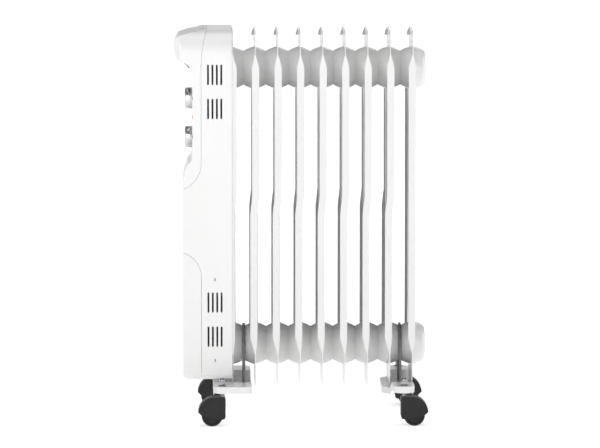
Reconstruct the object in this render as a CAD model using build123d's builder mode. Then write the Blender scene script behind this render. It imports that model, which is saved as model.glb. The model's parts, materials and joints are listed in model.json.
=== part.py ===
from build123d import *
import os

os.makedirs("parts", exist_ok=True)

# Oil filled radiator heater. X runs from the control housing (-X) to the last fin (+X),
# Y is the depth of the fins, Z is up. The origin is on the floor, under the middle.

# Fins
fin_count = 9
fin_pitch = 36.3
fin_height = 580.0
fin_depth = 145.0
fin_lift = 54.0
fin_sheet = 1.4
fin_corner = 38.0
edge_width = 11.4
edge_shift = 1.6
edge_offset = -0.9
edge_step = 28.0
edge_top_full = 60.0
edge_top_end = 38.0
edge_bottom_full = 82.0
edge_bottom_end = 55.0
hem_width = 4.5
hem_drop = 16.0

# Headers and oil channel
header_inset = 65.0
hub_root = 35.0
hub_joint = 27.5
hub_wall = 1.3
hub_bulge = 0.9
channel_height = 4.0
channel_width = 22.0
channel_flare = 70.0
cap_length = 24.0
cap_nose = 30.0

# Housing
shell_wall = 2.2
shell_foot_corner = 10.0
shell_lift = 68.5
shell_gap = 1.2
seam_lean = 11.0
seam_lean_length = 74.0
seam_reach = 51.0
face_reach = 64.6
front_reach = 81.0
nose_reach = 94.3
nose_side_reach = 84.0
nose_height = 51.0
seam_gap = 0.4
front_edge_radius = 10.0
cover_top = 275.0
cover_side_top = 236.0
panel_length = 258.5
panel_side_length = 215.5
flare_end_drop = 244.5
flare_start_drop = 206.5

# Vent slots
slot_width = 3.0
slot_length = 33.0
slot_pitch = 7.1
slot_row = 4
slot_reach = 29.0
slot_drops = (73.0, 128.0)
slot_heights = (194.5, 139.0)
key_slot_width = 1.5
key_slot_length = 5.0
key_slot_levels = (232.0, 100.0)

# Housing fittings
boss_radius = 4.0
boss_length = 24.0
boss_height = 112.0
boss_drop = 166.5
screw_radius = 1.75
grommet_reach = 41.5
grommet_neck = 6.5
grommet_lip = 2.0
cord_radius = 4.0

# Heat shield rib
rib_width = 34.0
rib_offset = 44.0
rib_margin = 14.0

# Controls
power_drop = 116.5
thermostat_drop = 179.5
lamp_radius = 3.5
lamp_proud = 0.8
knob_radius = 18.0
knob_length = 12.0
knob_gap = 0.6
shaft_radius = 3.0
shaft_seat = 8.0
shaft_tail = 14.0
bush_radius = 4.75
body_side = 28.0
body_length = 22.0
plate_sheet = 1.2
plate_margin = 2.0

# Handle recess
grip_width = 96.0
grip_depth = 15.0
grip_height = 26.0
grip_reach = 83.0
liner_wall = 1.6
grip_lip = 14.0

# Heater
flange_margin = 3.5
flange_length = 6.0
gasket_length = 1.5
rod_radius = 4.25
rod_spacing = 8.0
rod_reach = 232.0
pin_length = 9.0

# Brackets
wing_top = 64.0
wing_span = 262.0
bracket_rim = 10.7
bracket_sheet = 1.5
riser_margin = 2.5
riser_run = 6.0
bracket_corner = 16.0
front_bracket_start = -32.0
front_bracket_end = 30.0
rear_bracket_start = 257.6
rear_bracket_middle = 242.0
rear_bracket_end = 292.0
bolt_wire = 2.15
bolt_slack = 1.2
bolt_tail = 10.0
nut_flats = 7.0
nut_height = 4.0

# Casters
caster_track = 234.0
front_stem_reach = -18.3
rear_stem_reach = 275.6
stem_radius = 3.25
stem_top = 76.0
hood_height = 47.0
hood_width = 30.0
hood_wall = 1.6
hood_web = 3.6
wheel_radius = 17.0
wheel_width = 9.6
wheel_trail = 16.0
axle_radius = 2.5
tread_round = 1.2
collar_height = 1.2
cap_radius = 5.5
cap_height = 14.0
cap_flange_radius = 7.5
cap_flange_height = 1.5

# Clearances
running = 0.05
press = 0.02
clearance = 0.3

# Places worked out from the sizes above
fin_span = (fin_count - 1) * fin_pitch
first_fin = (nose_reach - fin_span - cap_length) / 2
last_fin = first_fin + fin_span
fin_top = fin_lift + fin_height
flange_radius = hub_joint + flange_margin
lower_header = fin_lift + header_inset
upper_header = fin_top - header_inset
shell_top = fin_top + clearance + shell_wall
shell_corner = fin_corner + clearance + shell_wall
shell_depth = fin_depth + 2 * (shell_wall + clearance)
panel_bottom = shell_top - panel_length
panel_side_bottom = shell_top - panel_side_length
flare_bottom = shell_top - flare_end_drop
flare_top = shell_top - flare_start_drop
power_level = shell_top - power_drop
thermostat_level = shell_top - thermostat_drop
lamp_level = (power_level + thermostat_level) / 2
slot_levels = [shell_top - drop for drop in slot_drops] + list(slot_heights)
boss_levels = (boss_height, shell_top - boss_drop)
riser_outer = fin_depth / 2 + riser_margin
riser_inner = riser_outer - riser_run
shell_back = first_fin - shell_gap
seam_x = first_fin - seam_reach
face_x = first_fin - face_reach
front_x = first_fin - front_reach
nose_x = first_fin - nose_reach
half_pitch = fin_pitch / 2
header_end = first_fin - half_pitch


def write(piece, name):
    piece.part.label = name
    export_step(piece.part, f"parts/{name}.step")


# ---- oil fins ----

def upright(x, y, z):
    # plane facing -Y, with its own x along X and its own y along Z
    return Plane(origin=(x, y, z), x_dir=(1, 0, 0), z_dir=(0, -1, 0))


def hub_profile(inset):
    # half section of a header hub, from the fin plane out to the joint with its neighbour
    middle = (hub_root + hub_joint) / 2 + hub_bulge
    with BuildSketch(mode=Mode.PRIVATE) as profile:
        with BuildLine():
            ThreePointArc(
                (0, hub_root - inset), (half_pitch / 2, middle - inset), (half_pitch, hub_joint - inset))
            Polyline((half_pitch, hub_joint - inset), (half_pitch, 0), (0, 0), (0, hub_root - inset))
        make_face()
    return profile.sketch


def channel_outline(inset):
    # oil channel between the headers: wide at each hub, narrow in the middle
    wide = hub_root - inset - 2
    narrow = channel_width / 2 - inset
    with BuildSketch(mode=Mode.PRIVATE) as outline:
        with BuildLine():
            Polyline(
                (-wide, lower_header), (-narrow, lower_header + channel_flare),
                (-narrow, upper_header - channel_flare), (-wide, upper_header),
                (wide, upper_header), (narrow, upper_header - channel_flare),
                (narrow, lower_header + channel_flare), (wide, lower_header), close=True)
        make_face()
    return outline.sketch


def edge_outline(shift):
    # flange along a long edge of a fin: jogged by twice the shift at mid height, tapered at both ends
    half = fin_sheet / 2
    low = fin_lift + fin_height / 2 - edge_step / 4
    high = low + edge_step
    left, right = edge_offset - edge_width / 2, edge_offset + edge_width / 2
    bottom_full, bottom_end = fin_lift + edge_bottom_full, fin_lift + edge_bottom_end
    top_full, top_end = fin_top - edge_top_full, fin_top - edge_top_end
    with BuildSketch(mode=Mode.PRIVATE) as outline:
        with BuildLine():
            Polyline(
                (-half, bottom_end), (left - shift, bottom_full), (left - shift, low),
                (left + shift, high), (left + shift, top_full), (-half, top_end),
                (half, top_end), (right + shift, top_full), (right + shift, high),
                (right - shift, low), (right - shift, bottom_full), (half, bottom_end), close=True)
        make_face()
        if shift:
            fillet([v for v in outline.vertices() if low - 1 < v.Y < high + 1], edge_step / 2)
    return outline.sketch


def lip_shape():
    with BuildPart() as lip:
        with BuildSketch(Plane.YZ):
            with Locations((0, fin_lift + fin_height / 2)):
                RectangleRounded(fin_depth, fin_height, fin_corner)
                RectangleRounded(
                    fin_depth - 2 * fin_sheet, fin_height - 2 * fin_sheet,
                    fin_corner - fin_sheet, mode=Mode.SUBTRACT)
        extrude(amount=-hem_width)
        with BuildSketch(upright(0, 0, fin_top)):
            with BuildLine():
                ThreePointArc((0, 0), (-0.75 * hem_width, -0.55 * hem_drop), (-hem_width, -hem_drop))
                Polyline((-hem_width, -hem_drop), (0, -hem_drop), (0, 0))
            make_face()
        extrude(amount=fin_depth / 2, both=True, mode=Mode.INTERSECT)
    return lip.part


def fin_shape(is_last):
    # one oil fin standing in the plane X = 0
    sheet_half = fin_sheet / 2
    middle = fin_lift + fin_height / 2
    headers = [(0, lower_header), (0, upper_header)]
    hub_sides = (-1,) if is_last else (-1, 1)
    with BuildPart() as fin:
        with BuildSketch(Plane.YZ):
            with Locations((0, middle)):
                RectangleRounded(fin_depth, fin_height, fin_corner)
        extrude(amount=sheet_half, both=True)
        # lip folded toward the housing round both top corners, growing from nothing at the top
        add(lip_shape())
        # flanges along the two long edges
        edge = edge_outline(0 if is_last else edge_shift)
        for side in (-1, 1):
            with BuildSketch(upright(0, -side * (fin_depth / 2 - fin_sheet), 0)):
                add(edge)
            extrude(amount=side * fin_sheet)
        # oil channel raised on both faces, then the hubs, then both hollowed
        for side in (-1, 1):
            with BuildSketch(Plane.YZ):
                add(channel_outline(0))
            extrude(amount=side * (sheet_half + channel_height), taper=30)
        for inset, mode in ((0, Mode.ADD), (hub_wall, Mode.SUBTRACT)):
            for side in hub_sides:
                for level in (lower_header, upper_header):
                    hub_plane = Plane(origin=(0, 0, level), x_dir=(side, 0, 0), z_dir=(0, -side, 0))
                    with BuildSketch(hub_plane):
                        add(hub_profile(inset))
                    revolve(axis=Axis((0, 0, level), (1, 0, 0)), mode=mode)
        for side in (-1, 1):
            with BuildSketch(Plane.YZ):
                add(channel_outline(hub_wall))
            extrude(amount=side * channel_height, taper=30, mode=Mode.SUBTRACT)
        if is_last:
            # the end caps sit flat on the sheet, so the channel stops at them
            with BuildSketch(Plane.YZ.offset(sheet_half)):
                with Locations(headers):
                    Circle(hub_root + clearance)
            extrude(amount=channel_height, mode=Mode.SUBTRACT)
            with BuildSketch(Plane.YZ):
                with Locations(headers):
                    Circle(hub_root - hub_wall)
            extrude(amount=sheet_half, both=True, mode=Mode.SUBTRACT)
    return fin.part


middle_fin_shape = fin_shape(False)
last_fin_shape = fin_shape(True)
for index in range(fin_count):
    with BuildPart() as fin:
        with Locations((first_fin + index * fin_pitch, 0, 0)):
            add(last_fin_shape if index == fin_count - 1 else middle_fin_shape)
    write(fin, f"fin_{index + 1}")


def make_end_cap(level, name):
    # pressed dome closing a header on the last fin
    start = last_fin + fin_sheet / 2
    reach = cap_length - fin_sheet / 2
    shoulder = reach - 6
    crown = reach - 2
    with BuildPart() as cap:
        for inset, mode in ((0, Mode.ADD), (hub_wall, Mode.SUBTRACT)):
            with BuildSketch(upright(start, 0, level)):
                with BuildLine():
                    ThreePointArc(
                        (0, hub_root - inset), (shoulder / 2, (hub_root + cap_nose) / 2 + hub_bulge - inset),
                        (shoulder, cap_nose - inset))
                    Polyline(
                        (shoulder, cap_nose - inset), (crown - inset, cap_nose - inset - 4),
                        (reach - inset, cap_nose / 2), (reach - inset, 0), (0, 0), (0, hub_root - inset))
                make_face()
            revolve(axis=Axis((start, 0, level), (1, 0, 0)), mode=mode)
    write(cap, name)


make_end_cap(lower_header, "end_cap_lower")
make_end_cap(upper_header, "end_cap_upper")


# ---- header fittings and heater ----

def disc(start, length, radius, level, y=0):
    # round stock along X, from start toward -X when the length is negative
    with BuildPart() as stock:
        with BuildSketch(Plane.YZ.offset(start)):
            with Locations((y, level)):
                Circle(radius)
        extrude(amount=length)
    return stock.part


header_bore = hub_joint - hub_wall
gasket_front = header_end - gasket_length
flange_front = gasket_front - flange_length

with BuildPart() as header_plug_upper:
    add(disc(header_end, -gasket_length * 2, flange_radius, upper_header))
    add(disc(header_end, flange_length, header_bore - clearance, upper_header))
    with BuildSketch(Plane.YZ.offset(header_end + flange_length)):
        with Locations((0, upper_header)):
            Circle(bush_radius + press)
    extrude(amount=-2 * flange_length, mode=Mode.SUBTRACT)
write(header_plug_upper, "header_plug_upper")

with BuildPart() as filler_plug:
    plug_face = header_end - 2 * gasket_length
    add(disc(plug_face, gasket_length * 2 + flange_length, bush_radius, upper_header))
    with BuildSketch(Plane.YZ.offset(plug_face)):
        with Locations((0, upper_header)):
            RegularPolygon(nut_flats, 6)
    extrude(amount=-nut_height)
write(filler_plug, "filler_plug")

with BuildPart() as heater_gasket:
    with BuildSketch(Plane.YZ.offset(header_end)):
        with Locations((0, lower_header)):
            Circle(flange_radius)
            Circle(header_bore, mode=Mode.SUBTRACT)
    extrude(amount=-gasket_length)
write(heater_gasket, "heater_gasket")

rod_centres = [(y, lower_header + z) for y in (-rod_spacing, rod_spacing) for z in (-rod_spacing, rod_spacing)]
with BuildPart() as heater_flange:
    add(disc(gasket_front, -flange_length, flange_radius, lower_header))
    with BuildSketch(Plane.YZ.offset(flange_front)):
        with Locations((0, lower_header)):
            RegularPolygon(flange_radius - 6, 6)
    extrude(amount=-flange_length / 2)
    with BuildSketch(Plane.YZ.offset(gasket_front)):
        with Locations(rod_centres):
            Circle(rod_radius + press)
    extrude(amount=-2 * flange_length, mode=Mode.SUBTRACT)
write(heater_flange, "heater_flange")

with BuildPart() as heating_element:
    rod_front = flange_front - flange_length / 2 - 2
    rod_end = first_fin + rod_reach
    for y in (-rod_spacing, rod_spacing):
        with BuildSketch(Plane.YZ.offset(rod_front)):
            with Locations((y, lower_header - rod_spacing), (y, lower_header + rod_spacing)):
                Circle(rod_radius)
        extrude(amount=rod_end - rod_front)
        bend_axis = Axis((rod_end, y, lower_header), (0, 1, 0))
        with BuildSketch(Plane.YZ.offset(rod_end)):
            with Locations((y, lower_header + rod_spacing)):
                Circle(rod_radius)
        revolve(axis=bend_axis, revolution_arc=180)
    # terminal pins in the ends of the rods
    with BuildSketch(Plane.YZ.offset(rod_front)):
        with Locations(rod_centres):
            Circle(rod_radius / 3)
    extrude(amount=-pin_length)
write(heating_element, "heating_element")


# ---- housing ----

def side_outline(inset):
    # side view of the whole housing: foot, front, flare, control face, finger recess, nose, top
    x0, nose, front, face = shell_back, nose_x, front_x, face_x
    nose_low = shell_top - nose_height
    with BuildSketch(Plane.XZ, mode=Mode.PRIVATE) as outline:
        with BuildLine():
            Polyline((x0, shell_top), (x0, shell_lift), (front + shell_foot_corner, shell_lift))
            RadiusArc(
                (front + shell_foot_corner, shell_lift), (front, shell_lift + shell_foot_corner),
                shell_foot_corner)
            Line((front, shell_lift + shell_foot_corner), (front, flare_bottom))
            flare_middle = (front + face) / 2
            ThreePointArc((front, flare_bottom), (front + 4.5, flare_bottom + 15), (flare_middle, flare_top - 12))
            ThreePointArc((flare_middle, flare_top - 12), (face - 1.8, flare_top - 4), (face, flare_top + 8))
            Line((face, flare_top + 8), (face, nose_low - 26))
            ThreePointArc((face, nose_low - 26), (face - 5, nose_low - 10), (nose + 13, nose_low - 1))
            ThreePointArc((nose + 13, nose_low - 1), (nose + 3.5, nose_low + 2.5), (nose, nose_low + 11))
            Line((nose, nose_low + 11), (nose, nose_low + 23))
            ThreePointArc((nose, nose_low + 23), (nose + 2, nose_low + 33), (nose + 8, nose_low + 39))
            ThreePointArc((nose + 8, nose_low + 39), (nose + 20, nose_low + 43.5), (nose + 36, shell_top - 4))
            Polyline((nose + 36, shell_top - 4), (nose + 44, shell_top), (x0, shell_top))
        make_face()
        if inset:
            offset(amount=-inset)
    return outline.sketch


def front_outline(inset):
    # front view of the housing: large rounded top corners, small foot corners
    half, low, high = shell_depth / 2 - inset, shell_lift + inset, shell_top - inset
    top_radius, foot_radius = shell_corner - inset, shell_foot_corner - inset
    with BuildSketch(mode=Mode.PRIVATE) as outline:
        with BuildLine():
            Line((-half, high - top_radius), (-half, low + foot_radius))
            RadiusArc((-half, low + foot_radius), (-half + foot_radius, low), -foot_radius)
            Line((-half + foot_radius, low), (half - foot_radius, low))
            RadiusArc((half - foot_radius, low), (half, low + foot_radius), -foot_radius)
            Line((half, low + foot_radius), (half, high - top_radius))
            RadiusArc((half, high - top_radius), (half - top_radius, high), -top_radius)
            Line((half - top_radius, high), (-half + top_radius, high))
            RadiusArc((-half + top_radius, high), (-half, high - top_radius), -top_radius)
        make_face()
    return outline.sketch


def housing_solid(inset):
    # side view, front view and plan view of the housing, cut against each other
    half = shell_depth / 2 - inset
    plan_front, plan_side = nose_x + inset, first_fin - nose_side_reach + inset
    with BuildPart() as solid:
        add(extrude(side_outline(inset), amount=half, both=True, mode=Mode.PRIVATE))
        with BuildSketch(Plane.YZ.offset(shell_back)):
            add(front_outline(inset))
        extrude(amount=nose_x - shell_back, mode=Mode.INTERSECT)
        with BuildSketch(Plane.XY):
            with BuildLine():
                ThreePointArc((plan_side, -half), (plan_front, 0), (plan_side, half))
                Polyline((plan_side, half), (shell_back, half), (shell_back, -half), (plan_side, -half))
            make_face()
            fillet(vertices().group_by(Axis.X)[0], front_edge_radius - inset)
        extrude(amount=shell_top, mode=Mode.INTERSECT)
    return solid.part


outer_housing = housing_solid(0)
inner_housing = housing_solid(shell_wall)


def panel_zone(gap):
    # side view of everything ahead of the upper seam
    ahead, above = nose_x - 10, shell_top + 6
    with BuildSketch(Plane.XZ, mode=Mode.PRIVATE) as zone:
        with BuildLine():
            TangentArc((seam_x, panel_side_bottom), (front_x, panel_bottom), tangent=(0, -1))
            Polyline(
                (front_x, panel_bottom), (ahead, panel_bottom), (ahead, above), (seam_x + seam_lean, above))
            ThreePointArc(
                (seam_x + seam_lean, above), (seam_x + 0.3 * seam_lean, above - 0.42 * seam_lean_length),
                (seam_x, above - seam_lean_length))
            Line((seam_x, above - seam_lean_length), (seam_x, panel_side_bottom))
        make_face()
        if gap:
            offset(amount=gap)
    return zone.sketch


def cover_zone(gap):
    # side view of everything ahead of and below the lower seam
    ahead = nose_x - 10
    with BuildSketch(Plane.XZ, mode=Mode.PRIVATE) as zone:
        with BuildLine():
            TangentArc((seam_x, cover_side_top), (front_x, cover_top), tangent=(0, 1))
            Polyline(
                (front_x, cover_top), (ahead, cover_top), (ahead, shell_lift - 10),
                (seam_x, shell_lift - 10), (seam_x, cover_side_top))
        make_face()
        if gap:
            offset(amount=gap)
    return zone.sketch


shield_back = first_fin - 12.0
shield_front = shield_back - plate_sheet
boss_points = [(side * (shell_depth / 2 - shell_wall - boss_radius + 0.5), level)
               for side in (-1, 1) for level in boss_levels]
grommet_x = first_fin - grommet_reach
inside_face = face_x + shell_wall
plate_back = inside_face + plate_sheet

with BuildPart() as side_housing:
    add(outer_housing)
    add(inner_housing, mode=Mode.SUBTRACT)
    with BuildSketch(Plane.YZ.offset(shell_back)):
        add(front_outline(shell_wall))
    extrude(amount=-2 * shell_wall, mode=Mode.SUBTRACT)
    for zone in (panel_zone(seam_gap), cover_zone(seam_gap)):
        add(extrude(zone, amount=shell_depth, both=True, mode=Mode.PRIVATE), mode=Mode.SUBTRACT)
    with BuildSketch(Plane.XZ):
        with Locations([(first_fin - slot_reach, level) for level in slot_levels]):
            with GridLocations(slot_pitch, 1, slot_row, 1):
                SlotOverall(slot_length, slot_width, rotation=90)
        with Locations([(first_fin - slot_reach, level) for level in key_slot_levels]):
            Rectangle(key_slot_width, key_slot_length)
    extrude(amount=shell_depth, both=True, mode=Mode.SUBTRACT)
    # screw posts along the side walls, ahead of the heat shield
    with BuildSketch(Plane.YZ.offset(shield_front)):
        with Locations(boss_points):
            Circle(boss_radius)
            Circle(screw_radius + press, mode=Mode.SUBTRACT)
    extrude(amount=-boss_length)
    with BuildSketch(Plane.XY.offset(shell_lift)):
        with Locations((grommet_x, 0)):
            Circle(grommet_neck + press)
    extrude(amount=shell_wall, mode=Mode.SUBTRACT)
write(side_housing, "side_housing")

with BuildPart() as lower_cover:
    add(outer_housing)
    add(inner_housing, mode=Mode.SUBTRACT)
    add(extrude(cover_zone(0), amount=shell_depth, both=True, mode=Mode.PRIVATE), mode=Mode.INTERSECT)
write(lower_cover, "lower_cover")

grip_x = first_fin - grip_reach + grip_depth / 2
nose_low = shell_top - nose_height
with BuildPart() as control_panel:
    add(outer_housing)
    add(inner_housing, mode=Mode.SUBTRACT)
    add(extrude(panel_zone(0), amount=shell_depth, both=True, mode=Mode.PRIVATE), mode=Mode.INTERSECT)
    with BuildSketch(Plane.YZ.offset(face_x)):
        with Locations((0, power_level), (0, thermostat_level)):
            Circle(bush_radius + clearance)
        with Locations((0, lamp_level)):
            Circle(lamp_radius + press)
    extrude(amount=shell_wall, mode=Mode.SUBTRACT)
    with BuildSketch(Plane.XY.offset(nose_low - grip_height)):
        with Locations((grip_x, 0)):
            Rectangle(grip_depth, grip_width)
    extrude(amount=1.4 * grip_height, mode=Mode.SUBTRACT)
write(control_panel, "control_panel")


def grip_lip_shape():
    # dark lip round the mouth of the finger pocket, hugging the underside of the nose
    with BuildPart() as lip:
        with BuildSketch(upright(nose_x, 0, nose_low)):
            with BuildLine():
                ThreePointArc((8, 0.5), (17, -4.6), (24.5, -14))
                Polyline((24.5, -14), (24.5, 4), (8, 4), (8, 0.5))
            make_face()
        extrude(amount=grip_width / 2 + grip_lip, both=True)
        add(outer_housing, mode=Mode.SUBTRACT)
    return lip.part


with BuildPart() as grip_liner:
    # pocket behind the nose for the fingers, open below
    with BuildSketch(Plane.XY.offset(nose_low - grip_height)):
        with Locations((grip_x, 0)):
            Rectangle(grip_depth - 2 * clearance, grip_width - 2 * clearance)
    extrude(amount=2 * grip_height)
    add(outer_housing, mode=Mode.INTERSECT)
    add(grip_lip_shape())
    with BuildSketch(Plane.XY.offset(nose_low - grip_height)):
        with Locations((grip_x, 0)):
            Rectangle(grip_depth - 2 * clearance - 2 * liner_wall, grip_width - 2 * clearance - 2 * liner_wall)
    extrude(amount=2 * grip_height - liner_wall, mode=Mode.SUBTRACT)
write(grip_liner, "grip_liner")

with BuildPart() as heat_shield:
    with BuildSketch(Plane.YZ.offset(shield_back)):
        add(front_outline(shell_wall + clearance))
        with Locations((0, lower_header), (0, upper_header)):
            Circle(hub_root, mode=Mode.SUBTRACT)
        with Locations(boss_points):
            Circle(screw_radius + press, mode=Mode.SUBTRACT)
    extrude(amount=-plate_sheet)
    # stiffening rib folded forward behind the vent slots
    with BuildSketch(Plane.XY.offset(shell_lift + rib_margin)):
        with Locations((shield_front, rib_offset)):
            Rectangle(rib_width, plate_sheet, align=(Align.MAX, Align.CENTER))
    extrude(amount=shell_top - shell_lift - 2 * rib_margin)
write(heat_shield, "heat_shield")

with BuildPart() as housing_screws:
    with BuildSketch(Plane.YZ.offset(shield_back)):
        with Locations(boss_points):
            Circle(screw_radius)
    extrude(amount=-boss_length + 5)
    with BuildSketch(Plane.YZ.offset(shield_back)):
        with Locations(boss_points):
            Circle(1.9 * screw_radius)
    extrude(amount=1.6)
write(housing_screws, "housing_screws")

with BuildPart() as cord_grommet:
    with BuildSketch(Plane.XY.offset(shell_lift)):
        with Locations((grommet_x, 0)):
            Circle(grommet_neck)
    extrude(amount=shell_wall)
    for height, amount in ((shell_lift, -grommet_lip), (shell_lift + shell_wall, grommet_lip)):
        with BuildSketch(Plane.XY.offset(height)):
            with Locations((grommet_x, 0)):
                Circle(grommet_neck + grommet_lip)
        extrude(amount=amount)
    with BuildSketch(Plane.XY.offset(shell_lift - grommet_lip)):
        with Locations((grommet_x, 0)):
            Circle(cord_radius)
    extrude(amount=shell_wall + 2 * grommet_lip, mode=Mode.SUBTRACT)
write(cord_grommet, "cord_grommet")


# ---- controls ----

knob_back = face_x - knob_gap
knob_levels = {"power_knob": power_level, "thermostat_knob": thermostat_level}
for name, level in knob_levels.items():
    with BuildPart() as knob:
        # domed disc with a softly rounded rim, turned about the shaft
        with BuildSketch(upright(knob_back, 0, level)):
            with BuildLine():
                Polyline((0, 0), (0, knob_radius - 0.6), (-0.8, knob_radius), (-0.65 * knob_length, knob_radius))
                ThreePointArc(
                    (-0.65 * knob_length, knob_radius), (-0.87 * knob_length, knob_radius - 1.5),
                    (-0.96 * knob_length, knob_radius - 5))
                Polyline((-0.96 * knob_length, knob_radius - 5), (-knob_length, 4), (-knob_length, 0), (0, 0))
            make_face()
        revolve(axis=Axis((knob_back, 0, level), (1, 0, 0)))
        # pointer groove at the rim
        with BuildSketch(Plane.YZ.offset(knob_back - knob_length)):
            with Locations((0, level + knob_radius - 4)):
                Rectangle(1.4, 8)
        extrude(amount=0.2 * knob_length, mode=Mode.SUBTRACT)
        add(disc(knob_back, -shaft_seat, shaft_radius + press, level), mode=Mode.SUBTRACT)
    write(knob, name)

shaft_front = knob_back - shaft_seat
shaft_back = inside_face + shaft_tail
for name, level in (("power_shaft", power_level), ("thermostat_shaft", thermostat_level)):
    with BuildPart() as shaft:
        add(disc(shaft_front, shaft_back - shaft_front, shaft_radius, level))
    write(shaft, name)

for name, level in (("selector_switch", power_level), ("thermostat", thermostat_level)):
    with BuildPart() as device:
        with BuildSketch(Plane.YZ.offset(plate_back)):
            with Locations((0, level)):
                RectangleRounded(body_side, body_side, 2)
        extrude(amount=body_length)
        add(disc(plate_back, face_x - plate_back, bush_radius, level))
        with BuildSketch(Plane.YZ.offset(plate_back + body_length)):
            with Locations((0, level)):
                with GridLocations(9, 1, 3, 1):
                    Rectangle(0.8, 6.3)
        extrude(amount=8)
        add(disc(face_x, shaft_back + clearance - face_x, shaft_radius + running, level), mode=Mode.SUBTRACT)
    write(device, name)

plate_height = power_level - thermostat_level + body_side + 2 * plate_margin
with BuildPart() as control_plate:
    with BuildSketch(Plane.YZ.offset(inside_face)):
        with Locations((0, (power_level + thermostat_level) / 2)):
            RectangleRounded(2 * body_side, plate_height, 4)
        with Locations((0, power_level), (0, thermostat_level)):
            Circle(bush_radius + clearance, mode=Mode.SUBTRACT)
        with Locations((0, lamp_level)):
            Circle(lamp_radius + clearance, mode=Mode.SUBTRACT)
    extrude(amount=plate_sheet)
write(control_plate, "control_plate")

with BuildPart() as indicator_lamp:
    add(disc(face_x - lamp_proud, lamp_proud + shell_wall + plate_sheet + 9, lamp_radius, lamp_level))
write(indicator_lamp, "indicator_lamp")


def shield_block(length, width, height, y, level, tabs):
    # small electrical part standing on the front of the heat shield, with spade tabs
    with BuildPart() as block:
        with BuildSketch(Plane.YZ.offset(shield_front)):
            with Locations((y, level)):
                RectangleRounded(width, height, 1.5)
        extrude(amount=-length)
        with BuildSketch(Plane.YZ.offset(shield_front - length)):
            with Locations((y, level)):
                with GridLocations(width / (tabs + 1), 1, tabs, 1):
                    Rectangle(0.8, 6.3)
        extrude(amount=-7)
    return block


write(shield_block(12, 34, 16, -34, 210, 3), "terminal_block")
write(shield_block(14, 24, 30, 0, 300, 2), "tilt_switch")
write(shield_block(7, 18, 18, 28, 210, 2), "thermal_cutout")


# ---- brackets ----

valley_top = fin_lift


def gull_outline(top_drop, side_inset):
    # wings at both ends, a lower valley in the middle carrying the fins
    end = wing_span / 2 - side_inset
    rise = riser_outer
    high, low = wing_top - top_drop, valley_top - top_drop
    depth = bracket_rim - top_drop + (5 if top_drop else 0)
    inner = riser_inner - side_inset / 2
    outer = rise - side_inset / 2
    with BuildSketch(mode=Mode.PRIVATE) as outline:
        with BuildLine():
            Polyline(
                (-end, high), (-outer, high), (-inner, low), (inner, low), (outer, high), (end, high),
                (end, high - depth), (outer, high - depth), (inner, low - depth), (-inner, low - depth),
                (-outer, high - depth), (-end, high - depth), close=True)
        make_face()
    return outline.sketch


def bracket_plan(start, middle, end, inset):
    # plan view; the front edge may swell toward the fins in the middle
    half = wing_span / 2 - inset
    with BuildSketch(mode=Mode.PRIVATE) as plan:
        with BuildLine():
            Polyline(
                (end - inset, -half), (end - inset, half), (start + inset, half),
                (start + inset, riser_outer), (middle + inset, riser_inner - 20),
                (middle + inset, -riser_inner + 20), (start + inset, -riser_outer),
                (start + inset, -half), close=True)
        make_face()
        ends = vertices().group_by(Axis.Y)
        fillet(ends[0] + ends[-1], bracket_corner - inset)
    return plan.sketch


def bracket_tray(start, middle, end, inset):
    with BuildPart() as tray:
        with BuildSketch(Plane.YZ.offset(middle)):
            add(gull_outline(inset, inset))
        extrude(amount=end - middle)
        with BuildSketch(Plane.XY):
            add(bracket_plan(start, middle, end, inset))
        extrude(amount=wing_top, mode=Mode.INTERSECT)
    return tray.part


bolt_radius = hub_joint + bolt_wire + bolt_slack
front_bolt_x = first_fin + half_pitch
rear_bolt_x = last_fin - half_pitch
stem_xs = (first_fin + front_stem_reach, first_fin + rear_stem_reach)
stem_points = [(x, y) for x in stem_xs for y in (-caster_track / 2, caster_track / 2)]
bolt_points = [(x, y) for x in (front_bolt_x, rear_bolt_x) for y in (-bolt_radius, bolt_radius)]
bracket_sizes = {
    "front_bracket": (front_bracket_start, front_bracket_start, front_bracket_end),
    "rear_bracket": (rear_bracket_start, rear_bracket_middle, rear_bracket_end),
}
for name, reaches in bracket_sizes.items():
    start, middle, end = (first_fin + reach for reach in reaches)
    with BuildPart() as bracket:
        add(bracket_tray(start, middle, end, 0))
        add(bracket_tray(start, middle, end, bracket_sheet), mode=Mode.SUBTRACT)
        with BuildSketch(Plane.XY):
            with Locations(stem_points):
                Circle(stem_radius + press)
            with Locations(bolt_points):
                Circle(bolt_wire + press)
        extrude(amount=wing_top, mode=Mode.SUBTRACT)
    write(bracket, name)

bolt_foot = valley_top - bolt_tail
for name, x in (("front_u_bolt", front_bolt_x), ("rear_u_bolt", rear_bolt_x)):
    with BuildPart() as u_bolt:
        with BuildSketch(Plane.XY.offset(bolt_foot)):
            with Locations((x, -bolt_radius), (x, bolt_radius)):
                Circle(bolt_wire)
        extrude(amount=lower_header - bolt_foot)
        with BuildSketch(Plane.XY.offset(lower_header)):
            with Locations((x, bolt_radius)):
                Circle(bolt_wire)
        revolve(axis=Axis((x, 0, lower_header), (1, 0, 0)), revolution_arc=180)
    write(u_bolt, name)

with BuildPart() as u_bolt_nuts:
    with BuildSketch(Plane.XY.offset(valley_top - bracket_sheet)):
        with Locations(bolt_points):
            RegularPolygon(nut_flats / 2, 6, major_radius=False)
            Circle(bolt_wire + press, mode=Mode.SUBTRACT)
    extrude(amount=-nut_height)
write(u_bolt_nuts, "u_bolt_nuts")


# ---- casters ----

stem_foot = wheel_radius + 14.0
collar_top = wing_top - bracket_sheet
with BuildPart() as caster_stems:
    with BuildSketch(Plane.XY.offset(stem_foot)):
        with Locations(stem_points):
            Circle(stem_radius)
    extrude(amount=stem_top - stem_foot)
    with BuildSketch(Plane.XY.offset(collar_top)):
        with Locations(stem_points):
            Circle(1.7 * stem_radius)
    extrude(amount=-collar_height)
write(caster_stems, "caster_stems")

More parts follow.
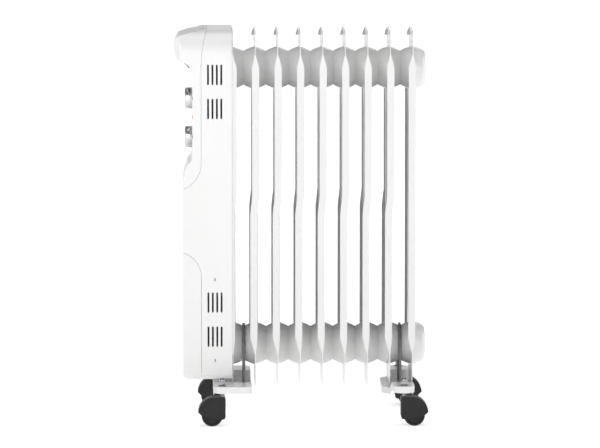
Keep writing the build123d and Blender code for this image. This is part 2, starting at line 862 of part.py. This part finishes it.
with BuildPart() as caster_nuts:
    # flanged cap nuts on the wings
    with BuildSketch(Plane.XY.offset(wing_top)):
        with Locations(stem_points):
            Circle(cap_flange_radius)
    extrude(amount=cap_flange_height)
    with BuildSketch(Plane.XY.offset(wing_top)):
        with Locations(stem_points):
            Circle(cap_radius)
    extrude(amount=cap_height)
    fillet(edges().filter_by(GeomType.CIRCLE).group_by(Axis.Z)[-1], 3)
    with BuildSketch(Plane.XY.offset(wing_top)):
        with Locations(stem_points):
            Circle(stem_radius + press)
    extrude(amount=stem_top - wing_top + press, mode=Mode.SUBTRACT)
write(caster_nuts, "caster_nuts")

wheel_start = hood_web / 2 + clearance
wheel_end = wheel_start + wheel_width
hood_half = wheel_end + clearance + hood_wall
axle_half = hood_half - hood_wall / 2


def hood_shape():
    # hood over two wheels, its stem socket at the origin, trailing toward +X
    back, tip = -5.8, wheel_trail + 22.4
    with BuildPart() as hood:
        with BuildSketch(Plane.XZ):
            with BuildLine():
                Polyline((back + 1.4, 12), (back, 16), (back, hood_height - 4))
                ThreePointArc((back, hood_height - 4), (back + 1.2, hood_height - 1.2), (back + 4, hood_height))
                Line((back + 4, hood_height), (wheel_trail + 2, hood_height))
                ThreePointArc((wheel_trail + 2, hood_height), (tip - 6, hood_height - 9), (tip, 23))
                Polyline((tip, 23), (tip - 5.4, 17.7), (wheel_trail - 13.6, 10.4), (back + 1.4, 12))
            make_face()
        extrude(amount=hood_half, both=True)
        for side in (-1, 1):
            with BuildSketch(Plane.XZ.offset(side * hood_web / 2)):
                with Locations((wheel_trail, wheel_radius)):
                    Circle(wheel_radius + 3 * clearance)
            extrude(amount=side * (wheel_width + 2 * clearance), mode=Mode.SUBTRACT)
        with BuildSketch(Plane.XY.offset(hood_height)):
            Circle(stem_radius + running)
        extrude(amount=-(hood_height - stem_foot + clearance), mode=Mode.SUBTRACT)
        with BuildSketch(Plane.XZ):
            with Locations((wheel_trail, wheel_radius)):
                Circle(axle_radius + press)
        extrude(amount=axle_half + press, both=True, mode=Mode.SUBTRACT)
    return hood.part


def axle_shape():
    with BuildPart() as axle:
        with BuildSketch(Plane.XZ):
            with Locations((wheel_trail, wheel_radius)):
                Circle(axle_radius)
        extrude(amount=axle_half, both=True)
    return axle.part


def wheel_shape(side):
    # plain wheel with rounded tread edges and a dished outer face
    inner, outer = side * wheel_start, side * wheel_end
    with BuildPart() as wheel:
        with BuildSketch(Plane.XZ.offset(-inner)):
            with Locations((wheel_trail, wheel_radius)):
                Circle(wheel_radius)
        extrude(amount=inner - outer)
        fillet(edges().filter_by(GeomType.CIRCLE), tread_round)
        with BuildSketch(Plane.XZ.offset(-outer)):
            with Locations((wheel_trail, wheel_radius)):
                Circle(wheel_radius - 4)
                Circle(axle_radius + 2.5, mode=Mode.SUBTRACT)
        extrude(amount=side * wheel_width / 4, mode=Mode.SUBTRACT)
        with BuildSketch(Plane.XZ):
            with Locations((wheel_trail, wheel_radius)):
                Circle(axle_radius + running)
        extrude(amount=hood_half, both=True, mode=Mode.SUBTRACT)
    return wheel.part


caster_shapes = {
    "hood": hood_shape(), "axle": axle_shape(),
    "left_wheel": wheel_shape(-1), "right_wheel": wheel_shape(1),
}
corners = ("front_left", "front_right", "rear_left", "rear_right")
for corner, (x, y) in zip(corners, stem_points):
    turn = 180 if corner.startswith("front") else 0
    for piece_name, shape in caster_shapes.items():
        with BuildPart() as caster_piece:
            with Locations(Location((x, y, 0), (0, 0, turn))):
                add(shape)
        write(caster_piece, f"{corner}_{piece_name}")
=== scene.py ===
import bpy
import json
import math
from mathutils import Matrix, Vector


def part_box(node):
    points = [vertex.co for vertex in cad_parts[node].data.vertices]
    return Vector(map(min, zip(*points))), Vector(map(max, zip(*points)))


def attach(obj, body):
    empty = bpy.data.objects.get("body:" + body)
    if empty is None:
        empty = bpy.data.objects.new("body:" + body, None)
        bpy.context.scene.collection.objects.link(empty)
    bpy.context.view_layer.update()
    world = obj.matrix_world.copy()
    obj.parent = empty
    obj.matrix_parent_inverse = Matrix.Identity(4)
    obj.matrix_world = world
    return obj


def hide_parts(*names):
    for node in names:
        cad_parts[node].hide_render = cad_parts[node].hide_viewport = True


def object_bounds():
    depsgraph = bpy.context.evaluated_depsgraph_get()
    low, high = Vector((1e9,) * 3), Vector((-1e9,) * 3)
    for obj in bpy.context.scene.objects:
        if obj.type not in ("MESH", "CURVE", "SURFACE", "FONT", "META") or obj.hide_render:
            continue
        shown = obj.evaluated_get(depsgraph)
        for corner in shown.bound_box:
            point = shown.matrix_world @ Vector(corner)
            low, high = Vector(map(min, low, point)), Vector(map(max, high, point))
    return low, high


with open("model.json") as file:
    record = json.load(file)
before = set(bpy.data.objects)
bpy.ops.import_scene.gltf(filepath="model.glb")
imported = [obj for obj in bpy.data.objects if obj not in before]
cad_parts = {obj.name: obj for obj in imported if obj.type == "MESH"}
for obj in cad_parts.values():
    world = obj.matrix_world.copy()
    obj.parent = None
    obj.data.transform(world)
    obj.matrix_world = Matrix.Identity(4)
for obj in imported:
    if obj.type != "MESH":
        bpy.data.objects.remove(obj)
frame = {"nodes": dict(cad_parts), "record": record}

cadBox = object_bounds()
nodes = frame["nodes"]
slotOfNode = {s["node"]: s["material_slot"] for s in frame["record"]["subparts"]}
bodyOfNode = {n: b for b, names in frame["record"]["behaviour"]["bodies"].items() for n in names}
mm = 0.001
print("frame loaded,", len(nodes), "nodes")


# camera and studio

view = {"distance": 8.35, "elevation": 6.2, "azimuth": -1.3, "lens": 307.6, "aimShift": (0.0, -0.0045)}

low, high = cadBox
middle = (Vector(low) + Vector(high)) / 2
elevation, azimuth = math.radians(view["elevation"]), math.radians(view["azimuth"])
outward = Vector((
    math.sin(azimuth) * math.cos(elevation), -math.cos(azimuth) * math.cos(elevation), math.sin(elevation)))
cameraData = bpy.data.cameras.new("studioCamera")
cameraData.lens = view["lens"]
cameraData.clip_end = 60
camera = bpy.data.objects.new("studioCamera", cameraData)
bpy.context.collection.objects.link(camera)
aim = middle + Vector((view["aimShift"][0], 0, view["aimShift"][1]))
camera.location = aim + outward * view["distance"]
camera.rotation_euler = (-outward).to_track_quat("-Z", "Y").to_euler()
bpy.context.scene.camera = camera
bpy.context.scene.view_settings.view_transform = "Standard"

softboxes = [
    {"name": "keySoftbox", "place": (-1.9, -3.9, 1.7), "size": 1.6, "power": 50},
    {"name": "fillSoftbox", "place": (2.0, -4.0, 1.1), "size": 1.6, "power": 30},
    {"name": "topSoftbox", "place": (0.0, -0.2, 3.2), "size": 1.6, "power": 22},
    {"name": "rimSoftbox", "place": (0.6, 3.2, 2.2), "size": 1.8, "power": 12},
    {"name": "rightSoftbox", "place": (3.3, 0.3, 1.2), "size": 1.8, "power": 22},
    {"name": "leftSoftbox", "place": (-3.3, 0.3, 1.0), "size": 1.8, "power": 12},
]
for box in softboxes:
    lightData = bpy.data.lights.new(box["name"], "AREA")
    lightData.energy = box["power"]
    lightData.size = box["size"]
    light = bpy.data.objects.new(box["name"], lightData)
    bpy.context.collection.objects.link(light)
    light.location = box["place"]
    light.rotation_euler = (middle - Vector(box["place"])).to_track_quat("-Z", "Y").to_euler()

print("camera and lights set")


# materials

def toLinear(hexText):
    channels = [int(hexText[i:i + 2], 16) / 255 for i in (1, 3, 5)]
    return tuple(c / 12.92 if c <= 0.04045 else ((c + 0.055) / 1.055) ** 2.4 for c in channels) + (1,)


def addNode(tree, kind, settings=None, values=None, links=None):
    node = tree.nodes.new(kind)
    for name, value in (settings or {}).items():
        setattr(node, name, value)
    for name, value in (values or {}).items():
        node.inputs[name].default_value = value
    for name, output in (links or {}).items():
        tree.links.new(output, node.inputs[name])
    return node


def startMaterial(name, shaderValues):
    material = bpy.data.materials.new(name)
    material.use_nodes = True
    tree = material.node_tree
    shader = tree.nodes["Principled BSDF"]
    for key, value in shaderValues.items():
        shader.inputs[key].default_value = value
    place = addNode(tree, "ShaderNodeTexCoord").outputs["Object"]
    return material, tree, shader, place


def addTint(tree, shader, place, lightHex, darkHex, patchMm):
    # slow drift between two close colours
    noise = addNode(
        tree, "ShaderNodeTexNoise", values={"Scale": 1000 / patchMm, "Detail": 3.0}, links={"Vector": place})
    ramp = addNode(tree, "ShaderNodeValToRGB", links={"Fac": noise.outputs["Fac"]})
    ramp.color_ramp.elements[0].position = 0.3
    ramp.color_ramp.elements[0].color = toLinear(darkHex)
    ramp.color_ramp.elements[1].position = 0.7
    ramp.color_ramp.elements[1].color = toLinear(lightHex)
    tree.links.new(ramp.outputs["Color"], shader.inputs["Base Color"])
    return noise


def addRoughness(tree, shader, place, lowest, highest, patchMm):
    noise = addNode(
        tree, "ShaderNodeTexNoise", values={"Scale": 1000 / patchMm, "Detail": 4.0}, links={"Vector": place})
    spread = addNode(
        tree, "ShaderNodeMapRange", links={"Value": noise.outputs["Fac"]},
        values={"From Min": 0.3, "From Max": 0.7, "To Min": lowest, "To Max": highest})
    tree.links.new(spread.outputs["Result"], shader.inputs["Roughness"])


def addBump(tree, shader, place, grainMm, depthMm, strength=1.0, stretch=(1, 1, 1)):
    mapping = addNode(tree, "ShaderNodeMapping", links={"Vector": place})
    mapping.inputs["Scale"].default_value = stretch
    noise = addNode(
        tree, "ShaderNodeTexNoise", values={"Scale": 1000 / grainMm, "Detail": 2.0},
        links={"Vector": mapping.outputs["Vector"]})
    bump = addNode(
        tree, "ShaderNodeBump", values={"Strength": strength, "Distance": depthMm * mm},
        links={"Height": noise.outputs["Fac"]})
    tree.links.new(bump.outputs["Normal"], shader.inputs["Normal"])


def whiteStoveEnamel():
    # baked white enamel on pressed steel: wet gloss over a faint orange peel, a trace of warm drift
    material, tree, shader, place = startMaterial(
        "whiteStoveEnamel", {"IOR": 1.52, "Coat Weight": 0.35, "Coat Roughness": 0.06})
    addTint(tree, shader, place, "#E3E3E3", "#E1E1E0", 160)
    addRoughness(tree, shader, place, 0.27, 0.3, 120)
    addBump(tree, shader, place, 3.0, 0.02)
    return material


def whiteMouldedAbs():
    # injection moulded white ABS, polished tool: even soft gloss with a very fine grain
    material, tree, shader, place = startMaterial("whiteMouldedAbs", {"IOR": 1.54})
    addTint(tree, shader, place, "#E9E9E9", "#E7E7E6", 160)
    addRoughness(tree, shader, place, 0.31, 0.34, 120)
    addBump(tree, shader, place, 1.2, 0.008)
    return material


def charcoalAbsAndRecessShade():
    # dark spark-eroded ABS, matt: on the finger recess liner it is painted shade, dark so that the recess
    # under the visor reads as a shadow line; the knob pointers wear it as their own dark colour
    material, tree, shader, place = startMaterial("charcoalAbsAndRecessShade", {"IOR": 1.54})
    addTint(tree, shader, place, "#2B2B2C", "#232324", 30)
    addRoughness(tree, shader, place, 0.55, 0.7, 12)
    addBump(tree, shader, place, 0.9, 0.05)
    return material


def blackCasterNylon():
    # glass-filled black nylon of the hoods and wheels: satin with a slight mottled sheen
    material, tree, shader, place = startMaterial(
        "blackCasterNylon", {"IOR": 1.53, "Specular IOR Level": 0.3})
    addTint(tree, shader, place, "#1F1F20", "#18181A", 18)
    addRoughness(tree, shader, place, 0.4, 0.5, 8)
    addBump(tree, shader, place, 0.8, 0.03)
    return material


def zincPlatedSteel():
    # dull zinc plate on wire and sheet: grey metal, cloudy spangle in the roughness
    material, tree, shader, place = startMaterial("zincPlatedSteel", {"Metallic": 1.0})
    addTint(tree, shader, place, "#9A9A9A", "#828385", 6)
    addRoughness(tree, shader, place, 0.34, 0.52, 4)
    addBump(tree, shader, place, 0.7, 0.01)
    return material


def brightChromePlate():
    # polished chrome on the cap nuts: near mirror with the faintest softness
    material, tree, shader, place = startMaterial("brightChromePlate", {"Metallic": 1.0})
    addTint(tree, shader, place, "#A9ABAE", "#9C9EA2", 10)
    addRoughness(tree, shader, place, 0.06, 0.12, 6)
    return material


def spunSilverPlate():
    # vacuum-metallised knob with a spun face: rings about the shaft catch the light
    material, tree, shader, place = startMaterial("spunSilverPlate", {"Metallic": 1.0})
    addTint(tree, shader, place, "#D6D7D9", "#C8CACC", 12)
    addRoughness(tree, shader, place, 0.24, 0.34, 5)
    addBump(tree, shader, place, 1.0, 0.012, stretch=(0.2, 1, 1))
    return material


def oxidisedSheath():
    # heated stainless sheath of the element: straw to brown oxide
    material, tree, shader, place = startMaterial("oxidisedSheath", {"Metallic": 1.0})
    addTint(tree, shader, place, "#7C705F", "#574C42", 14)
    addRoughness(tree, shader, place, 0.4, 0.6, 6)
    addBump(tree, shader, place, 0.8, 0.02)
    return material


def blackNitrileRubber():
    # gasket rubber: matt black with dusty patches
    material, tree, shader, place = startMaterial("blackNitrileRubber", {"IOR": 1.52})
    addTint(tree, shader, place, "#262423", "#1A1918", 9)
    addRoughness(tree, shader, place, 0.65, 0.8, 5)
    addBump(tree, shader, place, 0.6, 0.03)
    return material


def creamPhenolic():
    # switch and terminal bodies: pressed phenolic, matt cream with faint flow marks
    material, tree, shader, place = startMaterial("creamPhenolic", {"IOR": 1.6})
    addTint(tree, shader, place, "#D5CFBE", "#C8C1AE", 8)
    addRoughness(tree, shader, place, 0.45, 0.6, 5)
    addBump(tree, shader, place, 0.8, 0.03)
    return material


def amberPolycarbonate():
    # clear amber lamp lens, moulded with a light frost
    material, tree, shader, place = startMaterial(
        "amberPolycarbonate", {"IOR": 1.585, "Transmission Weight": 0.5})
    addTint(tree, shader, place, "#F08A24", "#E07512", 3)
    addRoughness(tree, shader, place, 0.15, 0.25, 2)
    addBump(tree, shader, place, 0.7, 0.02)
    return material


def drawnSteelPin():
    # bright drawn steel of the axles, with fine lines along the pin
    material, tree, shader, place = startMaterial("drawnSteelPin", {"Metallic": 1.0})
    addTint(tree, shader, place, "#B4B6B8", "#A2A4A6", 4)
    addRoughness(tree, shader, place, 0.22, 0.34, 3)
    addBump(tree, shader, place, 0.6, 0.01, stretch=(1, 0.1, 1))
    return material


def paleStudioFloor():
    # seamless paper: matt white with a fine tooth, plus painted light: the floor glows, dimmer near the
    # object and brighter away from it, so it fades up to clean white and its glow lightens the object from
    # below
    material, tree, shader, place = startMaterial("paleStudioFloor", {"IOR": 1.45})
    addTint(tree, shader, place, "#F7F7F7", "#F5F5F5", 400)
    addRoughness(tree, shader, place, 0.85, 0.95, 60)
    shader.inputs["Emission Color"].default_value = (1, 1, 1, 1)
    # painted glow: emission strength grows with distance from the floor's centre
    reach = addNode(tree, "ShaderNodeVectorMath", {"operation": "LENGTH"}, links={0: place}).outputs["Value"]
    paintedFloorGlow = addNode(
        tree, "ShaderNodeMapRange", values={"From Min": 0.5, "From Max": 2.5, "To Min": 0.56, "To Max": 0.9},
        links={"Value": reach})
    tree.links.new(paintedFloorGlow.outputs["Result"], shader.inputs["Emission Strength"])
    return material


def studioDome():
    # a white band round the horizon behind the object, dimmer overhead so that the hollows keep their shade
    world = bpy.data.worlds.new("studioDome")
    bpy.context.scene.world = world
    world.use_nodes = True
    tree = world.node_tree
    direction = addNode(tree, "ShaderNodeTexCoord").outputs["Generated"]
    height = addNode(tree, "ShaderNodeSeparateXYZ", links={"Vector": direction}).outputs["Z"]
    ramp = addNode(tree, "ShaderNodeValToRGB", links={"Fac": height})
    ramp.color_ramp.elements[0].position = 0.1
    ramp.color_ramp.elements[0].color = (1, 1, 1, 1)
    ramp.color_ramp.elements[1].position = 0.22
    ramp.color_ramp.elements[1].color = (0.16, 0.16, 0.16, 1)
    tree.links.new(ramp.outputs["Color"], tree.nodes["Background"].inputs["Color"])
    tree.nodes["Background"].inputs["Strength"].default_value = 1.0


studioDome()

finishes = {
    "fin_enamel": whiteStoveEnamel(),
    "housing_plastic": whiteMouldedAbs(),
    "dark_plastic": charcoalAbsAndRecessShade(),
    "caster_plastic": blackCasterNylon(),
    "zinc_steel": zincPlatedSteel(),
    "chrome_nut": brightChromePlate(),
    "silver_knob": spunSilverPlate(),
    "element_sheath": oxidisedSheath(),
    "gasket_rubber": blackNitrileRubber(),
    "device_plastic": creamPhenolic(),
    "amber_lens": amberPolycarbonate(),
    "axle_steel": drawnSteelPin(),
}
finishes["bracket_enamel"] = finishes["fin_enamel"]


def coat(piece, slotName):
    piece.data.materials.clear()
    piece.data.materials.append(finishes[slotName])


for name, node in nodes.items():
    coat(node, slotOfNode[name])
print("materials on", len(nodes), "nodes")


# floor

bpy.ops.object.select_all(action="DESELECT")
bpy.ops.mesh.primitive_grid_add(x_subdivisions=2, y_subdivisions=2, size=40, location=(0, 0, 0))
floor = bpy.context.object
floor.name = "studioFloor"
floor.data.materials.append(paleStudioFloor())


# shells and pressed parts: the CAD shape with its seams merged and its edges rounded over

def selectOnly(piece):
    bpy.ops.object.select_all(action="DESELECT")
    piece.select_set(True)
    bpy.context.view_layer.objects.active = piece


def standFor(piece, *names):
    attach(piece, bodyOfNode[names[0]])
    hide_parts(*names)


def roundEdges(piece, widthMm, segments=3, angle=30):
    bevel = piece.modifiers.new("edgeRound", "BEVEL")
    bevel.width = widthMm * mm
    bevel.segments = segments
    bevel.limit_method = "ANGLE"
    bevel.angle_limit = math.radians(angle)
    bpy.ops.object.modifier_apply(modifier="edgeRound")


def roundedCopy(name, pieceName, radiusMm, segments=3, bevelAngle=32):
    piece = nodes[name].copy()
    piece.data = nodes[name].data.copy()
    piece.name = pieceName
    piece.parent = None
    bpy.context.collection.objects.link(piece)
    selectOnly(piece)
    bpy.ops.object.mode_set(mode="EDIT")
    bpy.ops.mesh.select_all(action="SELECT")
    bpy.ops.mesh.remove_doubles(threshold=2e-6)
    bpy.ops.mesh.dissolve_limited(angle_limit=math.radians(0.6))
    bpy.ops.object.mode_set(mode="OBJECT")
    roundEdges(piece, radiusMm, segments, bevelAngle)
    bpy.ops.object.shade_smooth_by_angle(angle=math.radians(30))
    evenShade = piece.modifiers.new("evenShade", "WEIGHTED_NORMAL")  # keeps the broad faces flat
    evenShade.keep_sharp = True
    bpy.ops.object.modifier_apply(modifier="evenShade")
    coat(piece, slotOfNode[name])
    standFor(piece, name)
    return piece


# grip_liner is coated dark_plastic: painted shade filling the finger recess under the visor
roundedParts = {
    "side_housing": ("sideHousingShell", 0.6), "control_panel": ("controlPanelShell", 0.6),
    "lower_cover": ("lowerCoverShell", 0.6), "grip_liner": ("fingerRecessLiner", 0.5),
    "front_bracket": ("frontBracketPressing", 0.6), "rear_bracket": ("rearBracketPressing", 0.6),
}
for name, (pieceName, radius) in roundedParts.items():
    roundedCopy(name, pieceName, radius)
for name in nodes:
    if name.endswith("_hood"):
        roundedCopy(name, name.replace("_hood", "CasterHood"), 3.2, segments=5, bevelAngle=50)
print("shells rounded")


# turned pieces: a filled circle drawn out along its axis ring by ring, then bevelled

def freeze(piece):
    # the place and turn go into the mesh, and the object stands at the origin
    selectOnly(piece)
    bpy.ops.object.transform_apply(location=True, rotation=True, scale=True)


def turned(pieceName, centre, axis, steps, sides=64, bevelMm=0.0, cleanAngle=30):
    # steps: (distance along the axis, radius) in metres, from the first face to the last
    turns = {0: (0, math.pi / 2, 0), 1: (-math.pi / 2, 0, 0), 2: (0, 0, 0)}
    start = Vector(centre)
    start[axis] += steps[0][0]
    bpy.ops.object.select_all(action="DESELECT")
    bpy.ops.mesh.primitive_circle_add(
        vertices=sides, radius=steps[0][1], fill_type="NGON", location=start, rotation=turns[axis])
    piece = bpy.context.object
    piece.name = pieceName
    freeze(piece)
    bpy.ops.object.mode_set(mode="EDIT")
    bpy.ops.mesh.select_all(action="SELECT")
    travelled, radius = steps[0]
    for distance, nextRadius in steps[1:]:
        move = Vector((0, 0, 0))
        move[axis] = distance - travelled
        bpy.ops.mesh.extrude_region_move(TRANSFORM_OT_translate={"value": move})
        centreNow = start.copy()
        centreNow[axis] += distance - steps[0][0]
        scale = [nextRadius / radius] * 3
        scale[axis] = 1
        bpy.ops.transform.resize(value=scale, center_override=centreNow)
        travelled, radius = distance, nextRadius
    bpy.ops.mesh.select_all(action="SELECT")
    bpy.ops.mesh.normals_make_consistent(inside=False)
    bpy.ops.object.mode_set(mode="OBJECT")
    if bevelMm:
        roundEdges(piece, bevelMm, angle=25)
    bpy.ops.object.shade_smooth_by_angle(angle=math.radians(cleanAngle))
    return piece


def joinAll(pieces):
    bpy.ops.object.select_all(action="DESELECT")
    for piece in pieces:
        piece.select_set(True)
    bpy.context.view_layer.objects.active = pieces[0]
    bpy.ops.object.join()
    return pieces[0]


# control knobs: skirt, smooth grip drum, dished spun face, dark raised pointer

knobSize = {
    "sides": 80,
    "skirt": [(0, 0.8), (0.3, 0), (2.2, 0), (2.7, 0.7)],  # distance out from the panel, inset from the rim
    # distance back from the face, inset from the rim
    "front": [(2.6, 0.9), (1.2, 1.6), (0.4, 3.0), (0, 4.6), (0.5, 5.4), (0.7, 9)],
    "middle": (0.35, 1.5),  # the small flat at the centre of the dish: distance back, radius
    "pointer": (1.6, 1.8, 7.5), "pointerBack": 1.0, "pointerInset": 7.6,
}


def buildKnob(nodeName, pieceName):
    lowest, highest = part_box(nodeName)
    centre = (lowest + highest) / 2
    radius = (highest.z - lowest.z) / 2
    length = highest.x - lowest.x
    base = Vector((highest.x, centre.y, centre.z))
    steps = [(-out * mm, radius - inset * mm) for out, inset in knobSize["skirt"]]
    steps += [(-(length - back * mm), radius - inset * mm) for back, inset in knobSize["front"]]
    steps.append((-(length - knobSize["middle"][0] * mm), knobSize["middle"][1] * mm))
    knob = turned(pieceName, base, 0, steps, sides=knobSize["sides"], cleanAngle=35)
    pointerPlace = (
        base.x - length + knobSize["pointerBack"] * mm, base.y,
        base.z + radius - knobSize["pointerInset"] * mm)
    bpy.ops.object.select_all(action="DESELECT")
    bpy.ops.mesh.primitive_cube_add(size=1, location=pointerPlace)
    pointer = bpy.context.object
    pointer.scale = [side * mm for side in knobSize["pointer"]]
    freeze(pointer)
    roundEdges(pointer, 0.5)
    bpy.ops.object.shade_smooth_by_angle(angle=math.radians(30))
    pointer.name = pieceName + "Pointer"
    coat(pointer, "dark_plastic")
    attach(pointer, bodyOfNode[nodeName])
    coat(knob, slotOfNode[nodeName])
    standFor(knob, nodeName)
    return knob


buildKnob("power_knob", "powerSelectorKnob")
buildKnob("thermostat_knob", "thermostatKnob")
print("knobs done")


# caster wheels: rounded tread, stepped rim, hub boss and five ribs in the dish

wheelSize = {
    "sides": 56, "treadRound": 1.6, "rimWidth": 3.2, "rimSlope": 0.6, "dish": 2.6, "boss": 5.2,
    "innerFace": 4.2, "shoulder": [(0, 1.8), (0.5, 0.6)],  # distance along the tread, inset from it
    "bossBack": 0.4, "bore": 3.0, "boreBack": 1.0, "ribs": 5, "ribWidth": 1.4, "firstRib": 0.3,
}


def buildWheel(nodeName, pieceName):
    lowest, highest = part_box(nodeName)
    centre = (lowest + highest) / 2
    radius = (highest.z - lowest.z) / 2
    width = highest.y - lowest.y
    hoodLow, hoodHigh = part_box(nodeName.replace("left_wheel", "hood").replace("right_wheel", "hood"))
    outside = 1 if centre.y > (hoodLow.y + hoodHigh.y) / 2 else -1
    inner = Vector((centre.x, centre.y - outside * width / 2, centre.z))
    tread, rim = wheelSize["treadRound"] * mm, wheelSize["rimWidth"] * mm
    dish, boss = wheelSize["dish"] * mm, wheelSize["boss"] * mm
    corner = [(along * mm, inset * mm) for along, inset in wheelSize["shoulder"]] + [(tread, 0)]
    profile = [(0, wheelSize["innerFace"] * mm)] + [(along, radius - inset) for along, inset in corner]
    profile += [(width - along, radius - inset) for along, inset in reversed(corner)]
    profile += [
        (width, radius - rim), (width - dish, radius - rim - wheelSize["rimSlope"] * mm),
        (width - dish, boss),
        (width - wheelSize["bossBack"] * mm, boss - wheelSize["bossBack"] * mm),
        (width - wheelSize["bossBack"] * mm, wheelSize["bore"] * mm),
        (width - wheelSize["boreBack"] * mm, (wheelSize["bore"] - 0.3) * mm)]
    wheel = turned(
        pieceName, inner, 1, [(outside * along, size) for along, size in profile],
        sides=wheelSize["sides"], cleanAngle=32)
    parts = [wheel]
    reach = (boss + radius - rim) / 2
    for rib in range(wheelSize["ribs"]):
        angle = 2 * math.pi * rib / wheelSize["ribs"] + wheelSize["firstRib"]
        bpy.ops.object.select_all(action="DESELECT")
        bpy.ops.mesh.primitive_cube_add(size=1, rotation=(0, -angle, 0), location=(
            centre.x + reach * math.cos(angle), inner.y + outside * (width - dish / 2 - 0.5 * mm),
            centre.z + reach * math.sin(angle)))
        spoke = bpy.context.object
        spoke.scale = (radius - rim - boss + 0.8 * mm, dish, wheelSize["ribWidth"] * mm)
        freeze(spoke)
        roundEdges(spoke, 0.3, segments=2)
        parts.append(spoke)
    wheel = joinAll(parts)
    bpy.ops.object.shade_smooth_by_angle(angle=math.radians(32))
    coat(wheel, slotOfNode[nodeName])
    standFor(wheel, nodeName)
    return wheel


for name in nodes:
    if name.endswith("_wheel"):
        parts = name.split("_")
        buildWheel(name, parts[0] + parts[1].capitalize() + "Caster" + parts[2].capitalize() + "Wheel")
print("wheels done")


# cap nuts on the bracket wings: washer flange, hexagon with chamfered corners, polished dome

nutSize = {
    "flange": 7.5, "flangeEdge": 0.9, "flangeHeight": 1.5, "flangeSlope": 1.1,
    "hexFoot": 1, "corner": 5.8, "hexTop": 8.6, "chamferHeight": 0.7, "chamferDepth": 0.8,
    "dome": 4.8, "domeRings": 8, "ringDegrees": 11.5,
}


def buildCapNut(number, x, y, foot, top):
    flange = turned("nutFlange", (x, y, foot), 2, [
        (0, nutSize["flange"] * mm), (nutSize["flangeEdge"] * mm, nutSize["flange"] * mm),
        (nutSize["flangeHeight"] * mm, (nutSize["flange"] - nutSize["flangeSlope"]) * mm)],
        sides=40, bevelMm=0.2)
    hexTop = nutSize["hexTop"] * mm
    hexagon = turned("nutHexagon", (x, y, foot), 2, [
        (nutSize["hexFoot"] * mm, nutSize["corner"] * mm),
        (hexTop - nutSize["chamferHeight"] * mm, nutSize["corner"] * mm),
        (hexTop, (nutSize["corner"] - nutSize["chamferDepth"]) * mm)], sides=6, bevelMm=0.25)
    domeHeight = top - foot - hexTop
    rings = [(hexTop - 0.5 * mm, nutSize["dome"] * mm)]
    for step in range(nutSize["domeRings"]):
        angle = math.radians(nutSize["ringDegrees"] * step)
        rings.append((hexTop + domeHeight * math.sin(angle), nutSize["dome"] * mm * math.cos(angle)))
    dome = turned("nutDome", (x, y, foot), 2, rings, sides=32)
    nut = joinAll([flange, hexagon, dome])
    nut.name = f"capNut{number}"
    return nut


nutLow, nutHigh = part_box("caster_nuts")
reach = nutSize["flange"] * mm
places = [
    (x, y) for x in (nutLow.x + reach, nutHigh.x - reach) for y in (nutLow.y + reach, nutHigh.y - reach)]
nuts = [buildCapNut(number, x, y, nutLow.z, nutHigh.z) for number, (x, y) in enumerate(places, 1)]
capNuts = joinAll(nuts)
capNuts.name = "bracketCapNuts"
coat(capNuts, slotOfNode["caster_nuts"])
standFor(capNuts, "caster_nuts")
print("cap nuts done")
